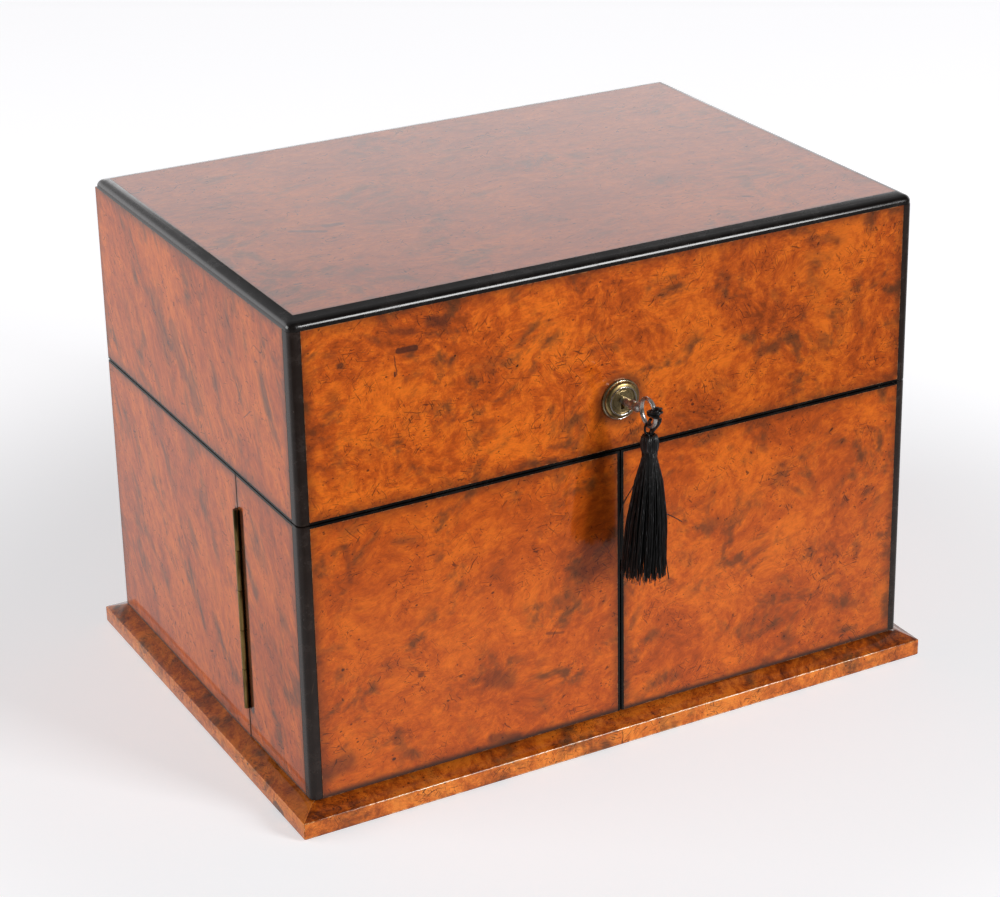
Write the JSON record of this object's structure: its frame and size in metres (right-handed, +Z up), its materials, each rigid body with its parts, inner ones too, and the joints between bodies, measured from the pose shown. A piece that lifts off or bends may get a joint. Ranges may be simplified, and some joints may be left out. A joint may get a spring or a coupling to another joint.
{
  "type": "tantalus decanter box",
  "caption": "Lockable burr-veneered drinks box: a deep lid hinged at the back over two L-shaped corner doors, with decanters and glasses inside and a tasselled key in the lock.",
  "frame": {"origin": "on the floor under the middle of the veneered body, at the baize under the base", "axes": "+Z up, -Y towards the viewer at the front with the lock, +X to the right of the front"},
  "size_m": [0.3572, 0.2839, 0.2585],
  "materials": {
    "burr_veneer": "French-polished burr walnut veneer",
    "ebonised": "glossy ebonised wood",
    "base_wood": "plain polished wood",
    "fitting_wood": "satin walnut",
    "baize": "green baize",
    "lining": "velvet",
    "brass": "aged brass",
    "steel": "worn steel",
    "crystal": "cut glass",
    "silk": "black silk thread"
  },
  "bodies": {
    "case": {"baize_base": "baize", "base_board": "base_wood", "plinth_front": "burr_veneer", "plinth_rear": "burr_veneer", "plinth_left": "burr_veneer", "plinth_right": "burr_veneer", "case_back": "burr_veneer", "case_left": "burr_veneer", "case_right": "burr_veneer", "case_lipping": "ebonised", "decanter_rack": "fitting_wood", "decanter_1": "crystal", "decanter_2": "crystal", "decanter_3": "crystal", "stopper_1": "crystal", "stopper_2": "crystal", "stopper_3": "crystal", "front_tray": "fitting_wood", "door_hinge_left_case_leaf": "brass", "door_hinge_left_pin": "brass", "door_hinge_right_case_leaf": "brass", "door_hinge_right_pin": "brass", "lid_hinge_case_leaves": "brass", "lid_hinge_pins": "brass"},
    "lid": {"lid_front": "burr_veneer", "lid_back": "burr_veneer", "lid_left": "burr_veneer", "lid_right": "burr_veneer", "lid_top": "burr_veneer", "lid_top_moulding": "ebonised", "lid_lipping": "ebonised", "lid_lining": "lining", "lid_left_corner_post": "ebonised", "lid_right_corner_post": "ebonised", "lid_hinge_lid_leaves": "brass", "lock_case": "brass", "lock_rosette": "brass"},
    "door_left": {"door_left_front": "burr_veneer", "door_left_side": "burr_veneer", "door_left_corner_post": "ebonised", "door_left_lipping": "ebonised", "door_hinge_left_door_leaf": "brass", "door_left_strike": "brass", "door_left_glass_rack": "fitting_wood", "door_left_glasses": "crystal"},
    "door_right": {"door_right_front": "burr_veneer", "door_right_side": "burr_veneer", "door_right_corner_post": "ebonised", "door_right_lipping": "ebonised", "door_hinge_right_door_leaf": "brass", "door_right_strike": "brass", "door_right_glass_rack": "fitting_wood", "door_right_glasses": "crystal"},
    "lock_barrel": {"lock_barrel": "brass"},
    "lock_hook": {"lock_hook": "brass"},
    "key": {"key": "steel"},
    "key_cord": {"cord_loop": "silk"},
    "tassel": {"tassel_head": "silk", "tassel_skirt": "silk"}
  },
  "joints": [
    {"name": "lid_hinge", "type": "hinge", "parent": "case", "child": "lid", "pos_m": [0, 0.12125, 0.158], "axis": [-1, 0, 0], "range_deg": [0, 95]},
    {"name": "door_left_hinge", "type": "hinge", "parent": "case", "child": "door_left", "pos_m": [-0.171, -0.0476, 0.0852], "axis": [0, 0, -1], "range_deg": [0, 175]},
    {"name": "door_right_hinge", "type": "hinge", "parent": "case", "child": "door_right", "pos_m": [0.171, -0.0476, 0.0852], "axis": [0, 0, 1], "range_deg": [0, 175]},
    {"name": "key_turn", "type": "hinge", "parent": "lid", "child": "lock_barrel", "pos_m": [0, -0.11375, 0.1847], "axis": [0, 1, 0], "range_deg": [0, 90]},
    {"name": "hook_turn", "type": "hinge", "parent": "lid", "child": "lock_hook", "pos_m": [0, -0.11375, 0.1667], "axis": [0, 1, 0], "range_deg": [-74, 0]},
    {"name": "key_withdraw", "type": "slide", "parent": "lock_barrel", "child": "key", "axis": [0, -1, 0], "range_m": [0, 0.03]},
    {"name": "cord_turn", "type": "hinge", "parent": "key", "child": "key_cord", "pos_m": [0, -0.1434, 0.1773], "axis": [0, 1, 0], "range_deg": [-91, 0]},
    {"name": "tassel_swing", "type": "hinge", "parent": "key_cord", "child": "tassel", "pos_m": [0, -0.1434, 0.17449], "axis": [1, 0, 0], "range_deg": [-60, 10]}
  ],
  "couplings": [
    {"joint": "hook_turn", "follows": "key_turn", "ratio": -0.81818},
    {"joint": "cord_turn", "follows": "key_turn", "ratio": -1}
  ]
}
